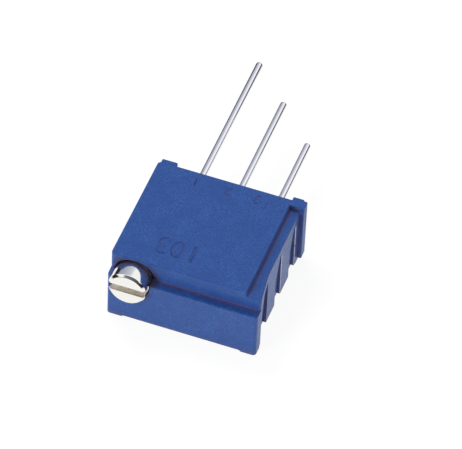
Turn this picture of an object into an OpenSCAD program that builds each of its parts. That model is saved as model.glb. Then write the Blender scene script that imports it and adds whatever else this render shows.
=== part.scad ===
// Square multi-turn trimmer potentiometer, 3/8 inch size, screw at one end and pins at the other.
// It lies on its potted back: +Z is the marked face, the screw faces -Y and the pins leave along +Y.
// The origin is in the middle of the back, on the plane that the corner feet rest on. Millimetres.

/* [Housing] */
// Width of the housing across the row of pins
body_w = 9.5; // [9.3:0.1:11]
// Depth of the housing from its front face to its pin-side face
body_d = 8.6; // [8.5:0.1:10]
// Thickness of the housing from its feet to the marked face
body_t = 4.7; // [4.5:0.1:6]
// Radius of the upright corners
corner_r = 0.22; // [0.1:0.02:0.3]
// Thickness of the wall beside the screw
screw_side_wall = 0.5; // [0.4:0.05:0.52]
// Thickness of the marked wall
top_wall = 0.55; // [0.5:0.05:0.6]
// Thickness of the front wall at its foot
front_wall = 1.45; // [1.3:0.05:1.5]
// Thickness of the pin-side wall
rear_wall = 0.6; // [0.5:0.05:0.7]

/* [Front step] */
// Height of the step in the front face above the feet
step_z = 3.36; // [3:0.02:3.6]
// Depth of the step
step_d = 0.58; // [0.4:0.02:0.7]

/* [Side rabbet] */
// Width of the rabbet along the marked face's edge
rabbet_w = 0.94; // [0.6:0.02:1]
// Depth of the rabbet below the marked face
rabbet_h = 0.37; // [0.2:0.01:0.45]
// Length of the full-height corner behind the rabbet
rabbet_stop = 0.44; // [0.3:0.02:0.6]

/* [Side ribs] */
// How far the ribbed side lies behind the housing's full width
rib_recess = 0.28; // [0.15:0.01:0.35]
// Length of the full-width land at the front
front_land = 0.7; // [0.5:0.05:0.9]
// Length of the slope from that land down to the ribs
front_flare = 2; // [1:0.1:2.2]
// Length of the full-width land at the pin side
rear_land = 0.5; // [0.4:0.05:0.7]
// Height of that land's lower end above the feet
rear_land_z = 0.3; // [0.1:0.05:1]
// Number of tapered slots between the ribs
slot_count = 3; // [1:1:3]
// Distance from one slot to the next
slot_pitch = 2.47; // [2.2:0.01:2.5]
// Width of a slot at its open lower end
slot_w = 0.95; // [0.6:0.05:1.2]
// Width of a slot at its upper end
slot_top_w = 0.35; // [0.2:0.05:0.5]
// Height above the feet at which a slot reaches its full width
slot_knee_z = 2.1; // [1.6:0.1:2.6]
// How much wider the slot nearest the front is
front_slot_extra = 0.7; // [0:0.05:0.75]
// Depth of the slots into the side
slot_depth = 0.2; // [0.12:0.01:0.35]
// Distance of the slots' upper ends below the marked face
slot_drop = 0.95; // [0.7:0.05:1.5]

/* [Feet and standoffs] */
// Height of the corner feet
foot_h = 0.1; // [0.05:0.01:0.2]
// Width of a corner foot across the housing
foot_w = 1.1; // [0.8:0.05:1.4]
// Length of a corner foot along the housing
foot_l = 0.9; // [0.6:0.05:1.2]
// How far the standoffs stand out of the pin-side face
standoff_l = 0.28; // [0.15:0.01:0.5]
// Width of the standoff on the screw's side
standoff_w = 1; // [0.6:0.05:1.2]
// Height of the standoffs' lower ends above the feet
standoff_z = 0.5; // [0.2:0.05:1]

/* [Adjusting screw] */
// Diameter of the screw's head
head_d = 2.35; // [2.1:0.05:2.4]
// How far the head stands out of the front face
head_proud = 0.6; // [0.3:0.05:1]
// Distance of the screw's axis from the side of the housing
screw_inset = 1.45; // [1.45:0.01:1.6]
// Distance of the screw's axis below the marked face
screw_drop = 1.55; // [1.5:0.01:1.6]
// Width of the driver slot
driver_slot_w = 0.5; // [0.4:0.05:0.6]
// Depth of the driver slot
driver_slot_depth = 0.62; // [0.4:0.02:0.8]
// Chamfer round the head's face
head_chamfer = 0.14; // [0.05:0.01:0.2]
// Diameter of the shank that runs in the housing
shank_d = 1.8; // [1.76:0.02:1.84]
// Diameter of the journal at the screw's inner end
journal_d = 0.7; // [0.5:0.05:0.8]
// Radial running clearance of the screw and the rotor
run_gap = 0.03; // [0.02:0.01:0.05]

/* [Worm drive] */
// Axial pitch of the worm's thread
worm_pitch = 0.588; // [0.56:0.001:0.59]
// Pitch diameter of the worm
worm_pitch_d = 1.36; // [1.3:0.01:1.38]
// Number of turns of thread
worm_turns = 6; // [4:2:6]
// Number of teeth on the worm wheel
wheel_teeth = 28; // [24:1:28]
// Thickness of the toothed rim
wheel_t = 1.1; // [0.9:0.05:1.2]
// Backlash at the pitch line
backlash = 0.06; // [0.03:0.01:0.08]
// Diameter of the rotor's pivot boss
pivot_d = 1.6; // [1.2:0.1:2]

/* [Element] */
// Thickness of the ceramic substrate
substrate_t = 0.6; // [0.5:0.05:0.8]
// Height of the rotor above the substrate
rotor_lift = 0.45; // [0.4:0.01:0.6]
// Thickness of the printed films
film_t = 0.03; // [0.02:0.01:0.05]
// Mean radius of the resistive track
track_r = 2; // [1.8:0.05:2.1]
// Width of the resistive track
track_w = 0.5; // [0.4:0.05:0.6]
// Thickness of the wiper's spring sheet
wiper_t = 0.07; // [0.05:0.01:0.1]

/* [Pins] */
// Diameter of the pins
pin_d = 0.45; // [0.4:0.01:0.5]
// Distance from one pin to the next
pin_pitch = 2.54; // [2.4:0.01:2.6]
// Length of pin 1 outside the housing
pin_1_reach = 12.05; // [3:0.05:15]
// Length of pin 2 outside the housing
pin_2_reach = 9.4; // [3:0.05:15]
// Length of pin 3 outside the housing
pin_3_reach = 6.65; // [3:0.05:15]

/* [Hidden] */
$fn = 64;

// Overlap of cutting tools, and the gap between parts that fit together
eps = 0.01;
fit_gap = 0.05;
end_room = 0.12;

// Outer faces
x_side = body_w / 2;
y_front = -body_d / 2;
y_rear = body_d / 2;
x_rib = x_side - rib_recess;
rear_rib = 0.5;
foot_root = 0.2;
standoff_inset = 0.15;
standoff_step = 0.1;
standoff_r = 0.08;
land_root = 0.2;

// Worm drive: a single-start right-hand worm on Y and a wheel on Z
tooth_module = worm_pitch / PI;
pressure_angle = 20;
addendum = 0.92 * tooth_module;
dedendum = 1.2 * tooth_module;
worm_tip_r = worm_pitch_d / 2 + addendum;
worm_root_r = worm_pitch_d / 2 - dedendum;
worm_l = worm_turns * worm_pitch;
worm_steps = 20;
worm_slices = 14;
neck_r = worm_root_r * cos(180 / worm_steps) - eps;
lead_angle = atan(worm_pitch / (PI * worm_pitch_d));
wheel_pitch_r = wheel_teeth * worm_pitch / (2 * PI);
wheel_tip_r = wheel_pitch_r + addendum;
wheel_root_r = wheel_pitch_r - dedendum;
wheel_base_r = wheel_pitch_r * cos(pressure_angle);
wheel_gap = 0.07;
flank_points = 6;

// Places of the screw and the rotor
screw_x = -x_side + screw_inset;
screw_z = body_t - screw_drop;
rotor_x = screw_x + worm_pitch_d / 2 + wheel_pitch_r;
rotor_y = y_front + front_wall + wheel_gap + wheel_tip_r;
rotor_z0 = screw_z - wheel_t / 2;
rotor_z1 = screw_z + wheel_t / 2;

// Cavity for the mechanism, wider than the wheel on the ribbed side and past the pad of pin 3
cav_side_room = 0.55;
pad_w = 1;
cav_x0 = -x_side + screw_side_wall;
cav_x1 = max(rotor_x + wheel_tip_r + cav_side_room, pin_pitch + pad_w / 2 + 2 * fit_gap);
cav_y0 = y_front + front_wall;
cav_y1 = y_rear - rear_wall;
cav_z1 = body_t - top_wall;

// Rotor: pivot, thrust ring, stop lug and the stop that it meets at either end of its travel
pivot_r = pivot_d / 2;
pivot_l = 0.3;
thrust_r = 1.25;
stop_angle = 36;
lug_r0 = 1.2;
lug_r1 = 1.9;
stop_r0 = 1.4;
stop_r1 = 2;
stop_h = 0.3;
rim_step = 0.1;

// Wiper, staked on two studs
plate_r = 1.1;
stud_x = 0.75;
stud_r = 0.16;
stud_l = 0.3;
window_x = 0.45;
window_y0 = -0.5;
window_y1 = 0.85;
finger_w = 0.18;
finger_pitch = 0.24;
foot_contact = 0.08;
inner_contact_y = 0.3;
outer_root_y = -0.95;
lift = 0.02;

// Element
substrate_z1 = rotor_z0 - rotor_lift;
substrate_z0 = substrate_z1 - substrate_t;
film_z = substrate_z1 + film_t;
track_r0 = track_r - track_w / 2;
track_r1 = track_r + track_w / 2;
track_end = 32;
pad_end = 18;
collector_r0 = 0.2;
collector_r1 = 0.95;
pad_front = 0.2;
lead_w = 0.4;

// Pins, with their flattened inner ends, and their solder
pin_r = pin_d / 2;
pin_z = film_z + pin_r;
pin_y0 = rotor_y + wheel_tip_r + end_room;
pin_reach = [pin_1_reach, pin_2_reach, pin_3_reach];
pin_tip = 0.08;
pin_slot_r = pin_r + 0.18;
round_y0 = y_rear - 0.1;
flat_w = 0.54;
flat_t = 0.3;
seal_z0 = 2 * foot_h;
solder_r = 0.45;
solder_h = 0.25;
solder_y = pin_y0 + 0.28;

// Screw along its axis, with its bearings, its clip and its seal ring
head_r = head_d / 2;
shank_r = shank_d / 2;
journal_r = journal_d / 2;
bore_r = shank_r + run_gap;
counterbore_r = head_r + 0.06;
counterbore_l = 0.95;
head_y0 = y_front - head_proud;
head_y1 = y_front + counterbore_l - fit_gap;
worm_y0 = rotor_y - worm_l / 2;
worm_y1 = rotor_y + worm_l / 2;
bearing_y1 = worm_y0 - end_room;
bearing_x1 = rotor_x - sqrt(pow(wheel_tip_r + fit_gap, 2) - pow(rotor_y - bearing_y1, 2));
clip_t = 0.22;
clip_w = 1.66;
clip_top = 0.6;
clip_gap = 0.02;
clip_groove = 0.04;
clip_y = bearing_y1 - 0.2 - clip_t / 2;
ring_cord_r = 0.15;
ring_squeeze = 0.01;
ring_y = (head_y1 + clip_y) / 2 - 0.08;
boss_y0 = worm_y1 + 0.75;
boss_z0 = film_z + flat_t + 2 * fit_gap;
boss_w = 0.9;
screw_y1 = cav_y1 - 0.15;

function pin_x(i) = (i - 1) * pin_pitch;
// Pressure angle of the wheel's flank at radius r, and the involute function, in degrees
function angle_at(r) = acos(min(1, wheel_base_r / r));
function inv(a) = tan(a) * 180 / PI - a;
// Half the angle of the gap between two teeth at radius r
function gap_half(r) = 180 / wheel_teeth
    - (90 / wheel_teeth - backlash / wheel_pitch_r * 90 / PI + inv(pressure_angle) - inv(angle_at(r)));

// Box from one corner to the other
module block(a, b) {
    translate(a) cube(b - a);
}

// Upright box with round corners
module round_block(a, b, r) {
    translate([a[0], a[1], a[2]]) linear_extrude(b[2] - a[2]) {
        translate([r, 0]) square([b[0] - a[0] - 2 * r, b[1] - a[1]]);
        translate([0, r]) square([b[0] - a[0], b[1] - a[1] - 2 * r]);
        for (x = [r, b[0] - a[0] - r], y = [r, b[1] - a[1] - r])
            translate([x, y]) circle(r, $fn = 32);
    }
}

// Cylinder along +Y from y0 to y1 on the axis (x, z)
module rod(x, z, y0, y1, r) {
    translate([x, y0, z]) rotate([-90, 0, 0]) cylinder(h = y1 - y0, r = r);
}

// Arc of flat film round the rotor's axis
module film_arc(r0, r1, from, to) {
    translate([rotor_x, rotor_y, substrate_z1]) rotate([0, 0, from])
        rotate_extrude(angle = to - from, $fn = 96) translate([r0, 0]) square([r1 - r0, film_t]);
}

// Tapered slot with its straight side at y, widened towards the front by extra
module slot_cut(y, extra) {
    z1 = body_t - slot_drop;
    tip = slot_top_w / 2;
    translate([x_rib - slot_depth, y, 0]) rotate([90, 0, 90]) linear_extrude(slot_depth + rib_recess + eps)
        polygon([[0, -eps], [0, z1 - tip], [-tip, z1], [-tip - extra, z1], [-slot_top_w - extra, z1 - tip],
                 [-slot_w - extra, slot_knee_z], [-slot_w - extra, -eps]]);
}

// Outer form of the housing, before it is hollowed
module housing_form() {
    difference() {
        union() {
            round_block([-x_side, y_front, foot_h], [x_side, y_rear, step_z], corner_r);
            round_block([-x_side, y_front + step_d, foot_h], [x_side, y_rear, body_t], corner_r);
        }
        // Rabbet along the marked face, open at the front
        block([x_side - rabbet_w, y_front, body_t - rabbet_h],
              [x_side + eps, y_rear - rabbet_stop, body_t + eps]);
        // Recessed side between the two lands, and the rear land's lower end
        translate([0, 0, -eps]) linear_extrude(body_t + 2 * eps)
            polygon([[x_side, y_front + front_land], [x_rib, y_front + front_land + front_flare],
                     [x_rib, y_rear - rear_land], [x_side + eps, y_rear - rear_land],
                     [x_side + eps, y_front + front_land]]);
        block([x_rib, y_rear - rear_land - eps, -eps], [x_side + eps, y_rear + eps, rear_land_z]);
        // Slots between the ribs, the last one beside the rear land
        for (i = [0 : slot_count - 1])
            slot_cut(y_rear - rear_land - rear_rib - i * slot_pitch, i == slot_count - 1 ? front_slot_extra : 0);
    }
    // Corner feet
    for (x = [-x_side, x_side - foot_w])
        round_block([x, y_front, 0], [x + foot_w, y_front + foot_l, foot_h + foot_root], corner_r);
    for (x = [-x_side, x_rib - foot_w])
        round_block([x, y_rear - foot_l, 0], [x + foot_w, y_rear, foot_h + foot_root], corner_r);
    // Standoffs on the pin side, with the rear land carried a little way past the face
    standoff_x = -x_side + standoff_inset;
    standoff(standoff_x, standoff_x + standoff_w, standoff_l, standoff_z);
    standoff(x_side - rabbet_w, x_rib + fit_gap, standoff_l, standoff_z);
    standoff(x_rib - land_root, x_side, standoff_l - standoff_step, rear_land_z);
}

// Upright pad that stands l out of the pin-side face
module standoff(x0, x1, l, z0) {
    round_block([x0, y_rear - land_root, z0], [x1, y_rear + l, body_t], standoff_r);
}

module housing() color("#3b5c9e") {
    difference() {
        housing_form();
        // Cavity, open at the back
        difference() {
            block([cav_x0, cav_y0, -eps], [cav_x1, cav_y1, cav_z1]);
            // Bearing blocks of the screw
            block([cav_x0 - eps, cav_y0 - eps, substrate_z1], [bearing_x1, bearing_y1, cav_z1 + eps]);
            block([cav_x0 - eps, boss_y0, boss_z0], [screw_x + boss_w, cav_y1 + eps, cav_z1 + eps]);
            // Pivot boss of the rotor, and the stop for the rotor's lug
            translate([rotor_x, rotor_y, screw_z - pivot_l]) cylinder(h = cav_z1, r = pivot_r);
            translate([rotor_x, rotor_y, cav_z1 - stop_h]) sector(90, stop_r0, stop_r1, stop_h + eps);
        }
        // Screw's counterbore, bore and rear bearing
        rod(screw_x, screw_z, y_front - eps, y_front + counterbore_l, counterbore_r);
        rod(screw_x, screw_z, y_front, bearing_y1 + eps, bore_r);
        rod(screw_x, screw_z, boss_y0 - eps, cav_y1, journal_r + run_gap);
        // Slot for the screw's clip, open at the back
        clip_block(clip_gap, substrate_z1 - eps, clip_top + 2 * fit_gap);
        // Pin slots, open at the back
        for (i = [0 : 2]) {
            rod(pin_x(i), pin_z, cav_y1 - eps, y_rear + eps, pin_slot_r);
            block([pin_x(i) - pin_slot_r, cav_y1 - eps, -eps], [pin_x(i) + pin_slot_r, y_rear + eps, pin_z]);
        }
    }
}

// Block of the clip's width and thickness, grown by gap on each side, from z0 to top above the screw's axis
module clip_block(gap, z0, top) {
    block([screw_x - clip_w / 2 - gap, clip_y - clip_t / 2 - gap, z0],
          [screw_x + clip_w / 2 + gap, clip_y + clip_t / 2 + gap, screw_z + top]);
}

// Part of a ring from r0 to r1, h high, centred on the direction a
module sector(a, r0, r1, h) {
    rotate([0, 0, a - stop_angle / 2]) rotate_extrude(angle = stop_angle)
        translate([r0, 0]) square([r1 - r0, h]);
}

module back_seal() color("#2b3550") difference() {
    union() {
        block([cav_x0, cav_y0, seal_z0], [cav_x1, cav_y1, substrate_z0]);
        for (i = [0 : 2]) {
            block([pin_x(i) - pin_slot_r, cav_y1 - eps, seal_z0], [pin_x(i) + pin_slot_r, y_rear, pin_z]);
            rod(pin_x(i), pin_z, cav_y1, y_rear, pin_slot_r);
        }
    }
    for (i = [0 : 2])
        pin(i);
}

// Cross-section of the worm: the axial rack profile wrapped round the axis
function worm_r(a) = let(s = abs(a) / 360 * worm_pitch,
                         flank = (s - worm_pitch / 4 + backlash / 2) / tan(pressure_angle))
    min(worm_tip_r, max(worm_root_r, worm_pitch_d / 2 - flank));

module worm() {
    translate([screw_x, worm_y0, screw_z]) rotate([-90, 0, 0])
        linear_extrude(worm_l, twist = -360 * worm_turns, slices = worm_slices * worm_turns, $fn = worm_steps)
            polygon([for (k = [0 : worm_steps - 1]) let(a = -180 + (k + 0.5) * 360 / worm_steps)
                worm_r(a) * [cos(a), sin(a)]]);
}

module adjusting_screw() color("#cfccc4") {
    difference() {
        union() {
            rod(screw_x, screw_z, head_y0 + head_chamfer, head_y1, head_r);
            translate([screw_x, head_y0, screw_z]) rotate([-90, 0, 0])
                cylinder(h = head_chamfer, r1 = head_r - head_chamfer, r2 = head_r);
            rod(screw_x, screw_z, head_y1, bearing_y1 - clip_gap, shank_r);
            rod(screw_x, screw_z, bearing_y1 - 2 * clip_gap, worm_y0 + end_room, neck_r);
            rod(screw_x, screw_z, worm_y1 - end_room, screw_y1, journal_r);
        }
        // Driver slot
        block([screw_x - head_d, head_y0 - eps, screw_z - driver_slot_w / 2],
              [screw_x + head_d, head_y0 + driver_slot_depth, screw_z + driver_slot_w / 2]);
        // Groove for the seal ring and groove for the clip
        groove(ring_y, ring_cord_r + clip_gap, shank_r - 2 * ring_cord_r);
        groove(clip_y, clip_t / 2 + clip_groove, neck_r);
    }
    worm();
}

// Tool that cuts a square groove of half-width hw down to radius r
module groove(y, hw, r) {
    difference() {
        rod(screw_x, screw_z, y - hw, y + hw, shank_d);
        rod(screw_x, screw_z, y - 2 * hw, y + 2 * hw, r);
    }
}

module screw_seal_ring() color("#1c1c1e")
    translate([screw_x, ring_y, screw_z]) rotate([-90, 0, 0])
        rotate_extrude() translate([shank_r - ring_cord_r, 0]) circle(ring_cord_r - ring_squeeze, $fn = 24);

module screw_clip() color("#b9b9b4") difference() {
    clip_block(0, substrate_z1 + clip_gap, clip_top);
    rod(screw_x, screw_z, clip_y - clip_t, clip_y + clip_t, neck_r + run_gap);
    // Open end of the U, above the screw
    block([screw_x - neck_r - run_gap, clip_y - clip_t, screw_z],
          [screw_x + neck_r + run_gap, clip_y + clip_t, body_t]);
}

// Gap between two teeth of the wheel, pointing along +X
module tooth_gap() {
    last = flank_points - 1;
    radii = [for (k = [0 : last]) wheel_root_r + k * (wheel_tip_r + fit_gap - wheel_root_r) / last];
    right = [for (r = radii) r * [cos(gap_half(r)), -sin(gap_half(r))]];
    left = [for (k = [last : -1 : 0]) radii[k] * [cos(gap_half(radii[k])), sin(gap_half(radii[k]))]];
    rotate([-lead_angle, 0, 0]) translate([0, 0, -wheel_t]) linear_extrude(2 * wheel_t)
        polygon(concat(right, left));
}

module worm_wheel() color("#e9e4d6") translate([rotor_x, rotor_y, 0]) difference() {
    union() {
        translate([0, 0, rotor_z0]) cylinder(h = wheel_t, r = wheel_tip_r, $fn = 4 * wheel_teeth);
        // Thrust ring under the ceiling, and the stop lug
        translate([0, 0, rotor_z1 - rim_step])
            cylinder(h = cav_z1 - fit_gap - rotor_z1 + rim_step, r = thrust_r);
        translate([0, 0, rotor_z1 - rim_step])
            sector(-90, lug_r0, lug_r1, cav_z1 - 2 * fit_gap - rotor_z1 + rim_step);
        // Studs that the wiper is staked on
        for (x = [-stud_x, stud_x])
            translate([x, 0, rotor_z0 - wiper_t - fit_gap]) cylinder(h = stud_l, r = stud_r, $fn = 24);
    }
    for (k = [0 : wheel_teeth - 1])
        translate([0, 0, screw_z]) rotate([0, 0, 180 + k * 360 / wheel_teeth]) tooth_gap();
    translate([0, 0, screw_z - pivot_l - fit_gap]) cylinder(h = body_t, r = pivot_r + run_gap);
}

module wiper() color("#c9b27a") translate([rotor_x, rotor_y, 0]) {
    difference() {
        translate([0, 0, rotor_z0 - wiper_t]) cylinder(h = wiper_t, r = plate_r);
        for (x = [-stud_x, stud_x])
            translate([x, 0, substrate_z1]) cylinder(h = body_t, r = stud_r + eps, $fn = 24);
        // Window in front of the centre fingers
        block([-window_x, window_y0, substrate_z1], [window_x, window_y1, body_t]);
    }
    // Fingers on the track, then fingers on the collector
    for (x = [-finger_pitch, 0, finger_pitch]) {
        finger(x, outer_root_y, -track_r);
        finger(x, window_y1 + eps, inner_contact_y);
    }
}

// Sprung finger from the wiper's plate at y0 down to the film at y1, where its end turns up
module finger(x, y0, y1) {
    s = sign(y1 - y0);
    toe = s * foot_contact;
    z1 = rotor_z0;
    z0 = film_z + lift;
    translate([x - finger_w / 2, 0, 0]) rotate([90, 0, 90]) linear_extrude(finger_w)
        polygon([[y0 - toe, z1], [y0, z1], [y1 - toe, z0 + wiper_t], [y1 + toe, z0 + 2 * wiper_t],
                 [y1 + toe, z0 + wiper_t], [y1, z0], [y1 - toe, z0],
                 [y0, z1 - wiper_t], [y0 - toe, z1 - wiper_t]]);
}

module substrate() color("#ece9e2")
    block([cav_x0 + fit_gap, cav_y0 + fit_gap, substrate_z0],
          [cav_x1 - fit_gap, cav_y1 - fit_gap, substrate_z1]);

module resistive_track() color("#2a2724")
    film_arc(track_r0, track_r1, 90 + track_end, 450 - track_end);

module collector() color("#b8b2a6") {
    film_arc(collector_r0, collector_r1, 0, 360);
    block([rotor_x - lead_w / 2, rotor_y + collector_r1 - pad_front, substrate_z1],
          [rotor_x + lead_w / 2, pin_y0, film_z]);
    pad(1);
}

// Pad under the inner end of a pin
module pad(i) {
    block([pin_x(i) - pad_w / 2, pin_y0 - pad_front, substrate_z1],
          [pin_x(i) + pad_w / 2, cav_y1 - 2 * fit_gap, film_z]);
}

// Point on the element at radius r and angle a round the rotor's axis
function on_element(r, a) = [rotor_x, rotor_y] + r * [cos(a), sin(a)];

// Pad at the end of the track, with its lead to pin i; s is 1 on the left and -1 on the right
module termination(i, s) {
    near = 90 + s * track_end;
    far = 90 + s * pad_end;
    film_arc(track_r0 - fit_gap, track_r1 + fit_gap, min(near, far), max(near, far));
    translate([0, 0, substrate_z1]) linear_extrude(film_t)
        polygon([on_element(track_r, near - 2 * s), on_element(track_r1, near - s),
                 [pin_x(i) - s * lead_w, pin_y0], [pin_x(i) + s * lead_w / 4, pin_y0],
                 on_element(track_r1, far + s)]);
    pad(i);
}

module termination_1() color("#b8b2a6") termination(0, 1);
module termination_3() color("#b8b2a6") termination(2, -1);

// Pin i with its flattened inner end, which the solder and the seal hold
module pin(i) {
    y1 = y_rear + pin_reach[i];
    rod(pin_x(i), pin_z, round_y0, y1 - pin_tip, pin_r);
    block([pin_x(i) - flat_w / 2, pin_y0, film_z], [pin_x(i) + flat_w / 2, round_y0 + eps, film_z + flat_t]);
    translate([pin_x(i), y1 - pin_tip, pin_z]) rotate([-90, 0, 0])
        cylinder(h = pin_tip, r1 = pin_r, r2 = pin_r - pin_tip);
}

module pin_1() color("#c9c9cf") pin(0);
module pin_2() color("#c9c9cf") pin(1);
module pin_3() color("#c9c9cf") pin(2);

// Solder fillet round the inner end of a pin, on its pad
module solder(i) difference() {
    translate([pin_x(i), solder_y, film_z]) intersection() {
        sphere(r = solder_r);
        block([-solder_r, -solder_r, 0], [solder_r, solder_r, solder_h]);
    }
    pin(i);
}
module solder_1() color("#a9adb3") solder(0);
module solder_2() color("#a9adb3") solder(1);
module solder_3() color("#a9adb3") solder(2);

housing();
back_seal();
adjusting_screw();
screw_seal_ring();
screw_clip();
worm_wheel();
wiper();
substrate();
resistive_track();
collector();
termination_1();
termination_3();
pin_1();
pin_2();
pin_3();
solder_1();
solder_2();
solder_3();
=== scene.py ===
import math

import bmesh
import bpy
from mathutils import Matrix, Quaternion, Vector
from mathutils.kdtree import KDTree


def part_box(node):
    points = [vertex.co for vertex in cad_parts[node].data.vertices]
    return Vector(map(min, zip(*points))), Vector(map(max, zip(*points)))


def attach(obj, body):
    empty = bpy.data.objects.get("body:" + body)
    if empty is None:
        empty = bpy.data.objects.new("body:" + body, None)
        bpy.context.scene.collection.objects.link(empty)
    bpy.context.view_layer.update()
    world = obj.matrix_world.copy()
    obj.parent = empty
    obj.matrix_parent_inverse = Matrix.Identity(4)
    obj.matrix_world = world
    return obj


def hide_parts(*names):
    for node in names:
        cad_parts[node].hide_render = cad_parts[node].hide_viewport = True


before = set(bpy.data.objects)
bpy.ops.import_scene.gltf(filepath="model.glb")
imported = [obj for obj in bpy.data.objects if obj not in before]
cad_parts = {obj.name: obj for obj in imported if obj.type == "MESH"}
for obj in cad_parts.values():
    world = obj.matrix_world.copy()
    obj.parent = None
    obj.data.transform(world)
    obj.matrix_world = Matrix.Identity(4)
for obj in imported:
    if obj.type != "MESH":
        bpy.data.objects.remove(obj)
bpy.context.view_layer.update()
millimetre = 0.001
stage = bpy.context.scene
closeBy = 0.001  # mm, what is nearer than this counts as touching
# Values between which a noise pattern lies almost wholly, and a narrower pair that makes its patches firmer
noiseRange = {"From Min": 0.3, "From Max": 0.7}
cloudRange = {"From Min": 0.35, "From Max": 0.65}


# Colours are written as sRGB hex and turned to linear here
def colour(hexText):
    channels = [int(hexText[i:i + 2], 16) / 255 for i in (1, 3, 5)]
    linear = [c / 12.92 if c <= 0.04045 else ((c + 0.055) / 1.055) ** 2.4 for c in channels]
    return (*linear, 1)


# Scale of a pattern whose features are this many millimetres across
def scaleFor(size):
    return 1 / (size * millimetre)


# Adds a node: input values in values, links from other nodes' outputs in links, its settings by keyword
def add(tree, kind, values=None, links=None, **settings):
    made = tree.nodes.new(kind)
    for name, value in settings.items():
        setattr(made, name, value)
    for name, value in (values or {}).items():
        made.inputs[name].default_value = value
    for name, socket in (links or {}).items():
        tree.links.new(socket, made.inputs[name])
    return made


# New material: itself, its node tree, and where each point is on the piece's own axes
def newMaterial(name):
    made = bpy.data.materials.new(name)
    made.use_nodes = True
    tree = made.node_tree
    tree.nodes.clear()
    return made, tree, add(tree, "ShaderNodeTexCoord").outputs["Object"]


# Distance of each point from the line along Y through (x, z), in millimetres
def fromAxis(tree, place, x, z):
    offset = add(tree, "ShaderNodeVectorMath", operation="SUBTRACT", links={0: place},
                 values={1: (x * millimetre, 0, z * millimetre)})
    flat = add(tree, "ShaderNodeVectorMath", operation="MULTIPLY", links={0: offset.outputs[0]},
               values={1: (1, 0, 1)})
    return add(tree, "ShaderNodeVectorMath", operation="LENGTH", links={0: flat.outputs[0]}).outputs["Value"]


# Lowest corner, highest corner and middle of a CAD node, in millimetres
def boxOf(nodeName):
    low, high = (Vector(corner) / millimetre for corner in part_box(nodeName))
    return low, high, (low + high) / 2


# Place in metres and turn of a thing whose -Z looks along a direction
def aimed(place, direction, roll=0):
    turn = direction.to_track_quat("-Z", "Y") @ Quaternion((0, 0, 1), roll)
    return Matrix.Translation(place) @ turn.to_matrix().to_4x4()


cameraView = {
    "target": (0.43, 3.08, 2.35),  # mm, where the lens points
    "azimuth": 18.09,  # degrees round from the front, towards the ribbed side
    "elevation": 47.56,
    "roll": 2.79,
    "distance": 301.6,  # mm
    "lens": 389.6,
    "sensor": 36,
    "nearest": 0.01,  # m
}


def makeCamera(view):
    azimuth, elevation, roll = (math.radians(view[key]) for key in ("azimuth", "elevation", "roll"))
    forward = Vector((-math.sin(azimuth) * math.cos(elevation),
                      math.cos(azimuth) * math.cos(elevation),
                      -math.sin(elevation)))
    lens = bpy.data.cameras.new("productCamera")
    lens.lens = view["lens"]
    lens.sensor_width = view["sensor"]
    lens.clip_start = view["nearest"]
    camera = bpy.data.objects.new("productCamera", lens)
    stage.collection.objects.link(camera)
    place = (Vector(view["target"]) - forward * view["distance"]) * millimetre
    camera.matrix_world = aimed(place, forward, roll)
    stage.camera = camera


makeCamera(cameraView)
print("camera placed")

studio = {
    "floorSize": 1.2,  # m
    "floorColour": "#F1F1F0",
    "floorGlow": 0.91,  # what the camera and the metal see of the floor, before its shadow
    "floorShadow": 0.12,  # share of the light on it that they see too, which draws the part's shadow
    "ambient": 0.42,
    # name: (place in m, size in m, watts)
    "lamps": {
        "backSoftbox": ((-0.16, 0.16, 0.34), (0.20, 0.14), 0.72),
        "frontSoftbox": ((-0.22, -0.38, 0.15), (0.14, 0.10), 1.05),
        "sideSoftbox": ((0.36, 0.04, 0.07), (0.12, 0.08), 0.22),
    },
    # Soft-edged cards that only metal and gloss reflect: (direction, size in m, left and right colours)
    "cards": {
        "lavenderCard": ((-0.50, 0.64, 0.52), (0.86, 0.86), ("#66708E", "#E4E7F2")),
        "frontDarkCard": ((0.14, -0.74, 0.50), (0.95, 0.66), ("#2A2C36", "#8C8E9A")),
    },
    "cardDistance": 0.58,  # m
    "cardEdge": 0.35,  # share of a card's half size over which it fades out
    # Dark band round the horizon and dark disc on the floor, for metal and gloss only
    "bandRadius": 0.57,  # m
    "bandHeight": 0.20,
    "bandFade": 0.6,  # share of its height where it starts to fade
    "bandSides": 64,
    "bandColour": "#24262E",
    "discLift": 0.00002,  # m over the floor
    "discFade": (0.014, 0.030),  # m, radius up to which it is clear and from which it is dark
}


def meshOf(form, name):
    mesh = bpy.data.meshes.new(name)
    form.to_mesh(mesh)
    form.free()
    return mesh


# Flat sheet round the origin, from half its width and half its height
def sheetMesh(name, wide, tall):
    mesh = bpy.data.meshes.new(name)
    corners = [(-wide, -tall, 0), (wide, -tall, 0), (wide, tall, 0), (-wide, tall, 0)]
    mesh.from_pydata(corners, [], [(0, 1, 2, 3)])
    return mesh


# Mixes two shaders: the first lights the object, the second is what the eye, metal and glass see
def seenAs(tree, lighting, looks):
    path = add(tree, "ShaderNodeLightPath")
    mirror = add(tree, "ShaderNodeMath", operation="MAXIMUM",
                 links={0: path.outputs["Is Glossy Ray"], 1: path.outputs["Is Transmission Ray"]})
    seen = add(tree, "ShaderNodeMath", operation="MAXIMUM",
               links={0: path.outputs["Is Camera Ray"], 1: mirror.outputs[0]})
    return add(tree, "ShaderNodeMixShader",
               links={0: seen.outputs[0], 1: lighting.outputs[0], 2: looks.outputs[0]})


def reflectedOnly(thing):
    stage.collection.objects.link(thing)
    for sight in ("camera", "diffuse", "transmission", "volume_scatter", "shadow"):
        setattr(thing, "visible_" + sight, False)


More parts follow.
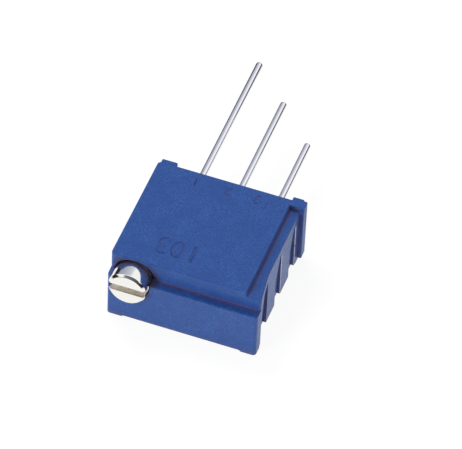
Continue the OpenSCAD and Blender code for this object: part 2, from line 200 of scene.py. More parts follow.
# Share that falls from 1 where the source's size is full to 0 where it is gone
def fade(tree, source, full, gone):
    size = add(tree, "ShaderNodeMath", operation="ABSOLUTE", links={0: source})
    return add(tree, "ShaderNodeMapRange", interpolation_type="SMOOTHSTEP", links={"Value": size.outputs[0]},
               values={"From Min": full, "From Max": gone, "To Min": 1, "To Max": 0})


# Shines in its tint as far as the share goes, and is clear elsewhere
def glowing(tree, tint, share):
    shine = add(tree, "ShaderNodeEmission", links={"Color": tint})
    clear = add(tree, "ShaderNodeBsdfTransparent")
    mix = add(tree, "ShaderNodeMixShader", links={0: share, 1: clear.outputs[0], 2: shine.outputs[0]})
    add(tree, "ShaderNodeOutputMaterial", links={"Surface": mix.outputs[0]})


def makeBackdrop(settings):
    white = colour("#FFFFFF")
    world = bpy.data.worlds.new("studioWorld")
    stage.world = world
    world.use_nodes = True
    tree = world.node_tree
    tree.nodes.clear()
    fill = add(tree, "ShaderNodeBackground", {"Color": white, "Strength": settings["ambient"]})
    backdrop = add(tree, "ShaderNodeBackground", {"Color": white, "Strength": 1})
    add(tree, "ShaderNodeOutputWorld", links={"Surface": seenAs(tree, fill, backdrop).outputs[0]})

    half = settings["floorSize"] / 2
    mesh = sheetMesh("studioFloor", half, half)
    floor = bpy.data.objects.new("studioFloor", mesh)
    stage.collection.objects.link(floor)
    material, tree, _ = newMaterial("paleStudioFloor")
    paint = add(tree, "ShaderNodeBsdfDiffuse", {"Color": colour(settings["floorColour"])})
    shadow = add(tree, "ShaderNodeBsdfDiffuse", {"Color": [settings["floorShadow"]] * 3 + [1]})
    glow = add(tree, "ShaderNodeEmission", {"Color": white, "Strength": settings["floorGlow"]})
    looks = add(tree, "ShaderNodeAddShader", links={0: shadow.outputs[0], 1: glow.outputs[0]})
    add(tree, "ShaderNodeOutputMaterial", links={"Surface": seenAs(tree, paint, looks).outputs[0]})
    mesh.materials.append(material)


def makeCards(settings):
    start = 1 - settings["cardEdge"]
    for name, (direction, size, (left, right)) in settings["cards"].items():
        wide, tall = size[0] / 2, size[1] / 2
        mesh = sheetMesh(name, wide, tall)
        card = bpy.data.objects.new(name, mesh)
        aim = Vector(direction).normalized()
        card.matrix_world = aimed(aim * settings["cardDistance"], aim)
        material, tree, place = newMaterial(name)
        split = add(tree, "ShaderNodeSeparateXYZ", links={0: place})
        blend = add(tree, "ShaderNodeMapRange", {"From Min": -wide, "From Max": wide},
                    {"Value": split.outputs["X"]})
        tint = add(tree, "ShaderNodeMix", {6: colour(left), 7: colour(right)}, {0: blend.outputs["Result"]},
                   data_type="RGBA")
        across = fade(tree, split.outputs["X"], wide * start, wide)
        upward = fade(tree, split.outputs["Y"], tall * start, tall)
        share = add(tree, "ShaderNodeMath", operation="MULTIPLY",
                    links={0: across.outputs["Result"], 1: upward.outputs["Result"]})
        glowing(tree, tint.outputs[2], share.outputs[0])
        mesh.materials.append(material)
        reflectedOnly(card)


def makeDarkSurround(settings):
    radius, tall, sides = settings["bandRadius"], settings["bandHeight"], settings["bandSides"]
    band = bmesh.new()
    bmesh.ops.create_cone(band, segments=sides, radius1=radius, radius2=radius, depth=tall)
    bmesh.ops.translate(band, vec=(0, 0, tall / 2), verts=band.verts)
    disc = bmesh.new()
    bmesh.ops.create_circle(disc, cap_ends=True, segments=sides, radius=radius)
    bmesh.ops.translate(disc, vec=(0, 0, settings["discLift"]), verts=disc.verts)
    clear, dark = settings["discFade"]
    shapes = (("horizonBand", band, "height", tall * settings["bandFade"], tall),
              ("darkGround", disc, "radius", dark, clear))
    for name, form, measure, full, gone in shapes:
        mesh = meshOf(form, name)
        material, tree, place = newMaterial(name)
        split = add(tree, "ShaderNodeSeparateXYZ", links={0: place})
        away = add(tree, "ShaderNodeVectorMath", links={0: place}, operation="LENGTH")
        source = split.outputs["Z"] if measure == "height" else away.outputs["Value"]
        share = fade(tree, source, full, gone)
        tint = add(tree, "ShaderNodeRGB")
        tint.outputs[0].default_value = colour(settings["bandColour"])
        glowing(tree, tint.outputs[0], share.outputs["Result"])
        mesh.materials.append(material)
        reflectedOnly(bpy.data.objects.new(name, mesh))


# The lamps themselves aren't mirrored: metal mirrors the cards
def makeLamps(settings):
    for name, (place, size, watts) in settings["lamps"].items():
        light = bpy.data.lights.new(name, "AREA")
        light.shape = "RECTANGLE"
        light.size, light.size_y = size
        light.energy = watts
        lamp = bpy.data.objects.new(name, light)
        stage.collection.objects.link(lamp)
        lamp.visible_glossy = False
        lamp.matrix_world = aimed(place, -Vector(place))


stage.view_settings.view_transform = "Standard"
makeBackdrop(studio)
makeCards(studio)
makeDarkSurround(studio)
makeLamps(studio)
print("studio lit")


# Plain mesh of an object as its modifiers leave it. The object itself is thrown away
def plainMesh(holder):
    stage.collection.objects.link(holder)
    graph = bpy.context.evaluated_depsgraph_get()
    made = bpy.data.meshes.new_from_object(holder.evaluated_get(graph), depsgraph=graph)
    bpy.data.objects.remove(holder)
    return made


# Mesh after one modifier. Meshes are worked in millimetres and scaled to metres last
def modified(mesh, kind, **settings):
    holder = bpy.data.objects.new("holder", mesh)
    step = holder.modifiers.new("step", kind)
    for name, value in settings.items():
        setattr(step, name, value)
    return plainMesh(holder)


# Mesh with another mesh cut out of it
def carved(mesh, toolMesh):
    tool = bpy.data.objects.new("cutter", toolMesh)
    stage.collection.objects.link(tool)
    made = modified(mesh, "BOOLEAN", operation="DIFFERENCE", solver="EXACT", object=tool)
    bpy.data.objects.remove(tool)
    return made


# What is merged when a CAD node becomes one surface
cadMerge = {
    "corners": 0.004,  # mm between corners that become one
    "faces": 0.5,  # degrees between faces that become one
}


# CAD node as one closed surface in millimetres
def closedForm(nodeName):
    form = bmesh.new()
    form.from_mesh(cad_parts[nodeName].data)
    bmesh.ops.scale(form, vec=[1 / millimetre] * 3, verts=form.verts)
    bmesh.ops.remove_doubles(form, verts=form.verts, dist=cadMerge["corners"])
    bmesh.ops.dissolve_limit(form, angle_limit=math.radians(cadMerge["faces"]), verts=form.verts,
                             edges=form.edges)
    return form


# Edges sharper than this many degrees that a test lets through. Signed angles leave out the hollow ones
def sharpEdges(form, degrees, test, signed=False):
    def angle(edge):
        return edge.calc_face_angle_signed(0) if signed else edge.calc_face_angle(0)

    return [edge for edge in form.edges if angle(edge) > math.radians(degrees) and test(edge)]


# Rounds edges. A corner that a short arc throws further than strayRadii goes back to a sound neighbour
def rounded(form, edges, radius, steps, strayRadii=1.9):
    marks = []
    for edge in edges:
        start, end = (vert.co for vert in edge.verts)
        count = max(1, math.ceil(edge.calc_length() / radius))
        marks += [start.lerp(end, i / count) for i in range(count + 1)]
    along = KDTree(len(marks))
    for i, point in enumerate(marks):
        along.insert(point, i)
    along.balance()
    kept = set(form.verts)
    bmesh.ops.bevel(form, geom=edges, offset=radius, segments=steps, profile=0.5, affect="EDGES",
                    clamp_overlap=False, loop_slide=True)
    stray = {vert for vert in form.verts if vert not in kept and along.find(vert.co)[2] > radius * strayRadii}
    while stray:
        mended = {}
        for vert in stray:
            near = [edge.other_vert(vert) for edge in vert.link_edges if edge.other_vert(vert) not in stray]
            if near:
                mended[vert] = min(near, key=lambda other: (other.co - vert.co).length).co.copy()
        if not mended:
            break
        for vert, place in mended.items():
            vert.co = place
        stray -= mended.keys()
    bmesh.ops.dissolve_degenerate(form, edges=form.edges, dist=closeBy)


# Puts a mesh that is in millimetres into the scene as the piece that stands for these CAD nodes
def placePiece(name, mesh, body, nodes, materials, sharpAngle=35, faceWeight=80):
    mesh.transform(Matrix.Scale(millimetre, 4))
    for material in materials:
        mesh.materials.append(material)
    mesh.shade_smooth()
    mesh.set_sharp_from_angle(angle=math.radians(sharpAngle))
    mesh = modified(mesh, "WEIGHTED_NORMAL", keep_sharp=True, weight=faceWeight)
    mesh.name = name
    piece = bpy.data.objects.new(name, mesh)
    stage.collection.objects.link(piece)
    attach(piece, body)
    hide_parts(*nodes)


# Profile with each of its inner corners rounded. A fillet takes less than half of each side
def filleted(points, radius, steps=4, sideShare=2.2):
    out = [points[0]]
    for before, corner, after in zip(points, points[1:], points[2:]):
        before, corner, after = Vector(before), Vector(corner), Vector(after)
        reach = min(radius, (before - corner).length / sideShare, (after - corner).length / sideShare)
        start = corner + (before - corner).normalized() * reach
        end = corner + (after - corner).normalized() * reach
        for i in range(steps + 1):
            t = i / steps
            out.append(tuple(start * (1 - t) ** 2 + corner * 2 * t * (1 - t) + end * t ** 2))
    out.append(points[-1])
    return out


# Solid of revolution round the axis along +Y through (x, z), from a profile of (radius, y)
def turned(profile, x, z, segments=96):
    form = bmesh.new()
    rings = []
    for radius, y in profile:
        count = segments if radius > 0 else 1
        angles = [math.tau * i / segments for i in range(count)]
        rings.append([form.verts.new((x + radius * math.cos(a), y, z + radius * math.sin(a)))
                      for a in angles])
    for first, second in zip(rings, rings[1:]):
        for i in range(segments):
            j = i + 1
            corners = [first[i % len(first)], first[j % len(first)],
                       second[j % len(second)], second[i % len(second)]]
            form.faces.new(list(dict.fromkeys(corners)))
    bmesh.ops.recalc_face_normals(form, faces=form.faces)
    return form


# Gives a unit cube its size and its place
def setBox(form, size, middle):
    bmesh.ops.scale(form, vec=size, verts=form.verts)
    bmesh.ops.translate(form, vec=middle, verts=form.verts)


mouldedBlue = {
    "base": "#234990",
    # The grain: its size in mm, drawn a little coarser than a spark-eroded mould leaves it, its two colours,
    # and the values of the pattern at which each is reached
    "grain": 0.085,
    "dark": "#142C60",
    "light": "#3F72C8",
    "grainLimits": (0.3, 0.72),
    "cloud": 1.1,  # mm across the patches where the grain shows less or more
    "grainShare": (0.35, 0.75),  # how much of it shows there
    # Painted shade in inner corners: its tint, how far in mm it reaches, and the openness that has all of it
    # and none of it
    "corner": "#6A587C",
    "cornerShadeReach": 0.42,
    "cornerShadeOpenness": (0.15, 0.93),
    "roughness": (0.28, 0.60),  # in the pits and on the peaks of the grain
    "bump": 0.7,
    "bumpDepth": 0.022,  # mm
    "gloss": 0.29,
    # Dull shade on the step round the screw's head, where the recess lets little light in
    "shade": "#40405E",
    "shadeShare": 0.85,
    "shadeRadius": (1.45, 1.98),  # mm from the screw's axis, where it starts to fade and where it is gone
    # Where it fades on each axis, in mm: it is whole at the first number and gone at the second
    "shadeFades": (("X", -4.38, -4.50), ("Y", -3.38, -3.30), ("Z", 3.36, 3.28), ("Z", 4.40, 4.60)),
    "skin": 0.14,  # share of the closed, glossier skin that the resin forms against the mould
    "skinRoughness": 0.22,
}


# Glass-filled thermoset from a spark-eroded mould: satin, with a fine mottled grain and soft flow patches
def mouldedThermoset(name, settings):
    material, tree, place = newMaterial(name)
    split = add(tree, "ShaderNodeSeparateXYZ", links={0: place})
    grain = add(tree, "ShaderNodeTexNoise", links={"Vector": place},
                values={"Scale": scaleFor(settings["grain"]), "Detail": 4, "Roughness": 0.65})
    cloud = add(tree, "ShaderNodeTexNoise", links={"Vector": place},
                values={"Scale": scaleFor(settings["cloud"]), "Detail": 3, "Roughness": 0.5})
    speck = add(tree, "ShaderNodeValToRGB", links={"Fac": grain.outputs["Fac"]})
    for end, limit, tint in zip(speck.color_ramp.elements, settings["grainLimits"], ("dark", "light")):
        end.position = limit
        end.color = colour(settings[tint])
    weak, strong = settings["grainShare"]
    patch = add(tree, "ShaderNodeMapRange", links={"Value": cloud.outputs["Fac"]},
                values={**cloudRange, "To Min": weak, "To Max": strong})
    # On a colour Mix node the colours are inputs 6 and 7 and output 2
    base = add(tree, "ShaderNodeMix", data_type="RGBA", values={6: colour(settings["base"])},
               links={0: patch.outputs["Result"], 7: speck.outputs["Color"]})

    # Painted shade: the corner tint is mixed in where ambient occlusion finds the surface shut in
    hollow = add(tree, "ShaderNodeAmbientOcclusion", {"Distance": settings["cornerShadeReach"] * millimetre},
                 samples=8)
    shut, clear = settings["cornerShadeOpenness"]
    openness = add(tree, "ShaderNodeMapRange", {"From Min": shut, "From Max": clear},
                   {"Value": hollow.outputs["AO"]})
    body = add(tree, "ShaderNodeMix", data_type="RGBA", values={6: colour(settings["corner"])},
               links={0: openness.outputs["Result"], 7: base.outputs[2]})

    # The shade's share is a product of fades, each full at its first limit and nothing at its second
    screw = boxOf("adjusting_screw")[2]
    fades = [(fromAxis(tree, place, screw.x, screw.z), *settings["shadeRadius"], settings["shadeShare"])]
    fades += [(split.outputs[letter], first, second, 1) for letter, first, second in settings["shadeFades"]]
    share = None
    for source, first, second, full in fades:
        part = add(tree, "ShaderNodeMapRange", interpolation_type="SMOOTHSTEP", links={"Value": source},
                   values={"From Min": first * millimetre, "From Max": second * millimetre,
                           "To Min": full, "To Max": 0}).outputs["Result"]
        share = add(tree, "ShaderNodeMath", operation="MULTIPLY",
                    links={0: share, 1: part}).outputs[0] if share else part
    body = add(tree, "ShaderNodeMix", data_type="RGBA", values={7: colour(settings["shade"])},
               links={0: share, 6: body.outputs[2]})

    smooth, rough = settings["roughness"]
    dull = add(tree, "ShaderNodeMapRange", links={"Value": grain.outputs["Fac"]},
               values={**noiseRange, "To Min": smooth, "To Max": rough})
    bump = add(tree, "ShaderNodeBump", links={"Height": grain.outputs["Fac"]},
               values={"Strength": settings["bump"], "Distance": settings["bumpDepth"] * millimetre})
    shader = add(tree, "ShaderNodeBsdfPrincipled",
                 values={"IOR": 1.5, "Specular IOR Level": settings["gloss"], "Coat Weight": settings["skin"],
                         "Coat Roughness": settings["skinRoughness"]},
                 links={"Base Color": body.outputs[2], "Roughness": dull.outputs["Result"],
                        "Normal": bump.outputs["Normal"]})
    add(tree, "ShaderNodeOutputMaterial", links={"Surface": shader.outputs[0]})
    return material


# Painted glint: colours of the pale line and of its gaps
paintedEdgeGlint = {
    "pale": "#FAFBFF",
    "dull": "#6C84BC",
    "patch": 0.5,  # mm across the stretches of one colour
    "paleLimits": (0.36, 0.46),  # values of the pattern at which the pale colour starts and is whole
    "roughness": 0.22,
}


# Painted glint along the rounded rear edges of the rib slots: a thin, pale and glassy line with gaps in it
def glintLineMaterial(name, settings):
    material, tree, place = newMaterial(name)
    cloud = add(tree, "ShaderNodeTexNoise", {"Scale": scaleFor(settings["patch"]), "Detail": 3},
                {"Vector": place})
    start, whole = settings["paleLimits"]
    share = add(tree, "ShaderNodeMapRange", {"From Min": start, "From Max": whole},
                {"Value": cloud.outputs["Fac"]})
    tint = add(tree, "ShaderNodeMix", {6: colour(settings["dull"]), 7: colour(settings["pale"])},
               {0: share.outputs["Result"]}, data_type="RGBA")
    shader = add(tree, "ShaderNodeBsdfPrincipled", {"Roughness": settings["roughness"]},
                 {"Base Color": tint.outputs[2]})
    add(tree, "ShaderNodeOutputMaterial", links={"Surface": shader.outputs[0]})
    return material


# All in mm, and angles in degrees
housingShape = {
    "edge": 0.06,  # radius of the moulded edges
    "edgeSteps": 3,
    "edgeAngle": 30,  # sharper than this is an edge
    # Middles of edges left sharp, where the form narrows to less than two such radii
    "sharpAt": ((-4.517, -4.01, 3.36), (-4.495, -3.72, 3.45), (4.476, -1.64, 1.84), (4.488, -1.73, 3.66),
                (4.75, -3.84, 3.36), (4.7465, -3.577, 3.36)),
    # Inner edges stay sharp too. Those of the cavity lie within this much of the seal's sides, more than this
    # in front of its rear face and more than this under the top
    "cavityMargin": 0.02,
    "cavityEnd": 0.3,
    "ceiling": 0.4,
    "boreMargin": 0.1,  # those of the bore lie within this much of the head's radius
    "boreStart": 0.75,  # and more than this behind the front
    # Those of the pin slots lie nearer than this to a pin's middle and to the rear face, and lower than this
    "pinSlotWide": 0.42,
    "pinSlotDeep": 0.7,
    "pinSlotHigh": 2.9,
    "footHigh": 0.15,  # edges under the feet are no higher
    # Relief round the screw's head, sunk in the step's wall above the ledge
    "reliefGap": 0.12,
    "reliefShift": (0.09, -0.02),  # its middle from the screw's axis
    "reliefDepth": 0.15,
    "reliefLip": 0.2,
    "reliefSteps": 5,  # in the arc of its lip
    "reliefFoot": 0.01,  # left standing on the ledge
    "cutterPast": 0.1,  # how far the cutter stands out of the wall
    "wallAt": -3.72,  # y of the step's wall
    "ledgeAt": 3.36,  # z of the ledge
    # The edges with the painted glint: x and y between these, and slanting more than this towards +X and -Y
    # but less than this up or down
    "glintBetween": ((4.0, -3.0), (4.74, 3.4)),
    "glintSlant": 0.3,
    # Generic resistance code and the numbers of the pins: (text, x, y, height of a figure)
    "marks": (("103", -1.1, -1.95, 1.4),
              ("1", -2.07, 3.55, 0.68), ("2", 0.02, 3.5, 0.68), ("3", 1.84, 3.55, 0.68)),
    "markDepth": 0.032,
    "markEdge": 0.024,
    "markAngle": 60,
    "figureShare": 0.73,  # height of a figure over the size of its type
}


# Figures sunk in the marked face, to be read from the side of the pins
def markCutter(settings, top):
    form = bmesh.new()
    for text, x, y, height in settings["marks"]:
        curve = bpy.data.curves.new("figures", "FONT")
        curve.body = text
        curve.size = height / settings["figureShare"]
        curve.align_x, curve.align_y = "CENTER", "CENTER"
        curve.resolution_u = 6
        curve.extrude = settings["markDepth"]
        mesh = plainMesh(bpy.data.objects.new("figures", curve))
        mesh.transform(Matrix.Translation((x, y, top)) @ Matrix.Rotation(math.pi, 4, "Z"))
        form.from_mesh(mesh)
    bmesh.ops.remove_doubles(form, verts=form.verts, dist=closeBy)
    bmesh.ops.recalc_face_normals(form, faces=form.faces)
    return meshOf(form, "figures")


def reliefCutter(settings, screw, head):
    radius, lip, wall = head + settings["reliefGap"], settings["reliefLip"], settings["wallAt"]
    front, back = wall - settings["cutterPast"], wall + settings["reliefDepth"]
    steps = settings["reliefSteps"]
    angles = [math.radians(90 * i / steps) for i in range(steps + 1)]
    mouth = [(radius + lip * (1 - math.sin(a)), wall + lip * (1 - math.cos(a))) for a in angles]
    shiftX, shiftZ = settings["reliefShift"]
    form = turned([(0, front), (radius + lip, front), *mouth, (radius, back), (0, back)],
                  screw.x + shiftX, screw.z + shiftZ)
    bmesh.ops.bisect_plane(form, geom=form.verts[:] + form.edges[:] + form.faces[:],
                           plane_co=(0, 0, settings["ledgeAt"] + settings["reliefFoot"]), plane_no=(0, 0, 1),
                           clear_inner=True)
    bmesh.ops.holes_fill(form, edges=[edge for edge in form.edges if edge.is_boundary])
    bmesh.ops.recalc_face_normals(form, faces=form.faces)
    return meshOf(form, "relief")


def makeHousing(settings, materials):
    low, high, _ = boxOf("housing")
    sealLow, sealHigh, _ = boxOf("back_seal")
    _, screwHigh, screw = boxOf("adjusting_screw")
    head = screwHigh.x - screw.x
    pinXs = [boxOf(f"pin_{i}")[2].x for i in (1, 2, 3)]
    margin, rearFace = settings["cavityMargin"], sealHigh.y

    # Outer edges: not the cavity's, the screw bore's, the pin slots' or those under the corner feet
    def shows(edge):
        middle = (edge.verts[0].co + edge.verts[1].co) / 2
        inCavity = (sealLow.x - margin < middle.x < sealHigh.x + margin
                    and sealLow.y - margin < middle.y < rearFace - settings["cavityEnd"]
                    and middle.z < high.z - settings["ceiling"])
        inBore = (math.hypot(middle.x - screw.x, middle.z - screw.z) < head + settings["boreMargin"]
                  and middle.y > low.y + settings["boreStart"])
        inPinSlot = (min(abs(middle.x - x) for x in pinXs) < settings["pinSlotWide"]
                     and middle.y > rearFace - settings["pinSlotDeep"] and middle.z < settings["pinSlotHigh"])
        underFoot = max(vert.co.z for vert in edge.verts) <= settings["footHigh"]
        narrow = any((middle - Vector(place)).length < settings["edge"] for place in settings["sharpAt"])
        return not (inCavity or inBore or inPinSlot or underFoot or narrow)

    def onTop(edge):
        return min(vert.co.z for vert in edge.verts) > high.z - closeBy

    form = closedForm("housing")
    edges = sharpEdges(form, settings["edgeAngle"], shows, signed=True)
    rounded(form, edges, settings["edge"], settings["edgeSteps"])
    mesh = carved(meshOf(form, "housingShell"), reliefCutter(settings, screw, head))
    mesh = carved(mesh, markCutter(settings, high.z))
    form = bmesh.new()
    form.from_mesh(mesh)
    rims = sharpEdges(form, settings["markAngle"], onTop, signed=True)
    rounded(form, rims, settings["markEdge"], 1)
    # Second material, the painted glint, on the rounded edges that face the front right between the ribs
    (xFrom, yFrom), (xTo, yTo) = settings["glintBetween"]
    slant = settings["glintSlant"]
    for face in form.faces:
        middle, out = face.calc_center_median(), face.normal
        inPlace = xFrom < middle.x < xTo and yFrom < middle.y < yTo
        if inPlace and out.x > slant and out.y < -slant and abs(out.z) < slant:
            face.material_index = 1
    placePiece("housingShell", meshOf(form, "housingShell"), "case", ["housing"],
               materials)


makeHousing(housingShape, [mouldedThermoset("mouldedThermosetBlue", mouldedBlue),
                           glintLineMaterial("paintedEdgeGlint", paintedEdgeGlint)])
print("housing made")


# The shader of a worked metal: its roughness drifts in patches, and its relief follows a pattern
def workedMetal(tree, place, pattern, settings):
    cloud = add(tree, "ShaderNodeTexNoise", {"Scale": scaleFor(settings["patch"]), "Detail": 3},
                {"Vector": place})
    smooth, rough = settings["roughness"]
    dull = add(tree, "ShaderNodeMapRange", links={"Value": cloud.outputs["Fac"]},
               values={**noiseRange, "To Min": smooth, "To Max": rough})
    bump = add(tree, "ShaderNodeBump", links={"Height": pattern.outputs["Fac"]},
               values={"Strength": settings["bump"], "Distance": settings["relief"] * millimetre})
    shader = add(tree, "ShaderNodeBsdfPrincipled", {"Base Color": colour(settings["tint"]), "Metallic": 1},
                 {"Roughness": dull.outputs["Result"], "Normal": bump.outputs["Normal"]})
    add(tree, "ShaderNodeOutputMaterial", links={"Surface": shader.outputs[0]})


# Metals: patch, line or grain, and relief are in mm
# Electroless nickel over turned brass, polished: bright, with faint rings left by the lathe
turnedNickel = {"tint": "#F2F1EC", "roughness": (0.09, 0.14), "patch": 0.5, "line": 0.05, "bump": 0.04,
                "relief": 0.002}
# Brass that shows where the slot was milled through the plating: warmer and duller, with deeper lines
milledBrass = {"tint": "#FBF5EC", "roughness": (0.32, 0.38), "patch": 0.5, "line": 0.05, "bump": 0.2,
               "relief": 0.002}


def latheMetal(name, settings, x, z):
    material, tree, place = newMaterial(name)
    # Rings round the axis: the pattern reads only the distance from the axis and the place along it
    split = add(tree, "ShaderNodeSeparateXYZ", links={0: place})
    ring = add(tree, "ShaderNodeCombineXYZ",
               links={"X": fromAxis(tree, place, x, z), "Y": split.outputs["Y"]})
    lines = add(tree, "ShaderNodeTexNoise", {"Scale": scaleFor(settings["line"]), "Detail": 2},
                {"Vector": ring.outputs[0]})
    workedMetal(tree, place, lines, settings)
    return material


# Mesh that a node tree makes. Its inputs are set by the identifiers of their sockets
def grown(tree, **inputs):
    holder = bpy.data.objects.new(tree.name, bpy.data.meshes.new(tree.name))
    step = holder.modifiers.new(tree.name, "NODES")
    step.node_group = tree
    for socket in tree.interface.items_tree:
        if socket.in_out == "INPUT":
            step[socket.identifier] = inputs[socket.name]
    return plainMesh(holder)


def newTree(name, **inputs):
    tree = bpy.data.node_groups.new(name, "GeometryNodeTree")
    tree.interface.new_socket("Geometry", in_out="OUTPUT", socket_type="NodeSocketGeometry")
    for title, kind in inputs.items():
        tree.interface.new_socket(title, in_out="INPUT", socket_type="NodeSocket" + kind)
    return tree, add(tree, "NodeGroupInput").outputs


# Every tree ends so: real geometry, in one material
def endTree(tree, geometry, finish):
    real = add(tree, "GeometryNodeRealizeInstances", links={"Geometry": geometry})
    painted = add(tree, "GeometryNodeSetMaterial", links={"Geometry": real.outputs[0], "Material": finish})
    add(tree, "NodeGroupOutput", links={"Geometry": painted.outputs[0]})


# All in mm, and angles in degrees
screwShape = {
    "sides": 128,
    "chamfer": 0.14,
    "headExtra": 0.03,  # more than the solid's radius, so that only a hairline shows round the head
    "edge": 0.03,  # radius of the polished edges
    "slotWidth": 0.5,
    "slotDepth": 0.62,
    "slotAngle": 50,  # sharper than this is an edge of the slot
    "slotEdge": 0.02,
    "slotMouth": 0.1,  # radius that tumbling left on the two ends of the slot
    "slotSteps": 4,
    "wallNear": 0.004,  # the ends' edges lie this close to the head's wall
    "shank": 0.9,  # radius
    "headLand": 0.37,  # from the head's back to the seal ring
    "ringGroove": 0.3,
    "ringPlay": 0.02,
    "neck": 0.44,
    "clipPlay": 0.04,
    "journal": 0.35,
    "wormPitch": 0.588,
    "wormTurns": 6,
    "wormRelief": 0.12,  # bare root in front of the worm
    "threadFoot": 0.397,  # width of the thread at its root and at its crest
    "threadCrest": 0.109,
    "threadHeight": 0.397,
    "threadSunk": 0.02,  # how far its foot lies inside the root
    "wormRoot": 0.455,  # radius
}


# Thread of the worm: a trapezium that follows a helix
def wormThread():
    tree, given = newTree("wormThread", Turns="Float", Root="Float", Length="Float", Foot="Float",
                          Crest="Float", Height="Float", Finish="Material")
    helix = add(tree, "GeometryNodeCurveSpiral", {"Resolution": 40, "Reverse": True},
                {"Rotations": given["Turns"], "Start Radius": given["Root"], "End Radius": given["Root"],
                 "Height": given["Length"]})
    level = add(tree, "GeometryNodeSetCurveNormal", links={"Curve": helix.outputs[0]}, mode="Z_UP")
    tooth = add(tree, "GeometryNodeCurvePrimitiveQuadrilateral", mode="TRAPEZOID", values={"Offset": 0},
                links={"Bottom Width": given["Foot"], "Top Width": given["Crest"], "Height": given["Height"]})
    half = add(tree, "ShaderNodeMath", operation="MULTIPLY", links={0: given["Height"]}, values={1: 0.5})
    up = add(tree, "ShaderNodeCombineXYZ", links={"Y": half.outputs[0]})
    raised = add(tree, "GeometryNodeTransform",
                 links={"Geometry": tooth.outputs[0], "Translation": up.outputs[0]})
    outward = add(tree, "GeometryNodeTransform", {"Rotation": (0, 0, math.radians(-90))},
                  {"Geometry": raised.outputs[0]})
    sweep = add(tree, "GeometryNodeCurveToMesh", {"Fill Caps": True},
                {"Curve": level.outputs[0], "Profile Curve": outward.outputs[0]})
    endTree(tree, sweep.outputs[0], given["Finish"])
    return tree


# The turned blank: head, groove of the seal ring, neck of the clip, root of the worm and journal
def screwBlank(settings, screw, front, rear, headRadius, wormStart, wormEnd):
    ringLow, ringHigh, _ = boxOf("screw_seal_ring")
    clipLow, clipHigh, _ = boxOf("screw_clip")
    shank, neck, journal, root = (settings[key] for key in ("shank", "neck", "journal", "wormRoot"))
    groove = shank - settings["ringGroove"]
    grooveStart, grooveEnd = ringLow.y - settings["ringPlay"], ringHigh.y + settings["ringPlay"]
    neckStart, neckEnd = clipLow.y - settings["clipPlay"], clipHigh.y + settings["clipPlay"]
    headBack = ringLow.y - settings["headLand"]
    shankEnd = wormStart - settings["wormRelief"]
    chamfer = settings["chamfer"]
    outline = [(0, front), (headRadius - chamfer, front), (headRadius, front + chamfer),
               (headRadius, headBack), (shank, headBack), (shank, grooveStart), (groove, grooveStart),
               (groove, grooveEnd), (shank, grooveEnd), (shank, neckStart), (neck, neckStart),
               (neck, neckEnd), (shank, neckEnd), (shank, shankEnd), (root, shankEnd), (root, wormEnd),
               (journal, wormEnd), (journal, rear), (0, rear)]
    form = turned(filleted(outline, settings["edge"]), screw.x, screw.z, settings["sides"])
    return meshOf(form, "adjustingScrew")


def makeScrew(settings):
    low, high, screw = boxOf("adjusting_screw")
    x, z, front = screw.x, screw.z, low.y
    headRadius = high.x - x + settings["headExtra"]
    pitch = settings["wormPitch"]
    wormLength = pitch * settings["wormTurns"]
    wormStart = boxOf("worm_wheel")[2].y - wormLength / 2
    blank = screwBlank(settings, screw, front, high.y, headRadius, wormStart, wormStart + wormLength)

    # Driver slot: the cutter is longer than the head is wide, and half of its depth stands in front of it
    cutter = bmesh.new()
    bmesh.ops.create_cube(cutter, size=1)
    wide, deep = settings["slotWidth"], settings["slotDepth"]
    setBox(cutter, (headRadius * 3, deep * 2, wide), (x, front, z))
    form = bmesh.new()
    form.from_mesh(carved(blank, meshOf(cutter, "slotCutter")))

    def onSlot(vert):
        return abs(abs(vert.co.z - z) - wide / 2) < closeBy or abs(vert.co.y - front - deep) < closeBy

    for face in form.faces:
        if face.calc_center_median().y < front + deep + closeBy and all(onSlot(vert) for vert in face.verts):
            face.material_index = 1

    def slotRim(edge):
        return any(face.material_index == 1 for face in edge.link_faces)

    def slotEnd(edge):
        reach = headRadius - settings["wallNear"]
        return slotRim(edge) and all(math.hypot(vert.co.x - x, vert.co.z - z) > reach for vert in edge.verts)

    ends = sharpEdges(form, settings["slotAngle"], slotEnd)
    rounded(form, ends, settings["slotMouth"], settings["slotSteps"])
    rim = sharpEdges(form, settings["slotAngle"], slotRim)
    bmesh.ops.bevel(form, geom=rim, offset=settings["slotEdge"], segments=2, profile=0.5, affect="EDGES",
                    clamp_overlap=False)

    nickel = latheMetal("polishedNickelPlate", turnedNickel, x, z)
    brass = latheMetal("milledBrass", milledBrass, x, z)
    # The thread runs in half a turn from either end of the worm
    sunk = settings["threadSunk"]
    thread = grown(wormThread(), Turns=settings["wormTurns"] - 1, Root=settings["wormRoot"] - sunk,
                   Length=wormLength - pitch, Foot=settings["threadFoot"], Crest=settings["threadCrest"],
                   Height=settings["threadHeight"] + sunk, Finish=nickel)
    thread.transform(Matrix.Translation((x, wormStart + pitch / 2, z))
                     @ Matrix.Rotation(math.radians(-90), 4, "X") @ Matrix.Rotation(math.pi, 4, "Z"))
    form.from_mesh(thread)
    placePiece("adjustingScrew", meshOf(form, "adjustingScrew"), "screw",
               ["adjusting_screw"], [nickel, brass])


makeScrew(screwShape)
print("screw made")

# All in mm
pinShape = {
    "sides": 48,
    "tip": 0.10,  # radius of the rounded tip's edge
    "flatWidth": 0.54,
    "flatThickness": 0.3,
    "flatEdge": 0.05,
    "flatEnd": 4.2,  # y at which the round wire begins
    "flatPast": 0.1,  # how far the flat goes on into the wire
}
# Hot-tinned copper-alloy wire: soft silver, with faint lines along it from the drawing die
tinnedWire = {"tint": "#EDEDF1", "roughness": (0.10, 0.15), "patch": 0.6, "along": (1, 0.03, 1),
              "grain": 0.06, "bump": 0.04, "relief": 0.004}


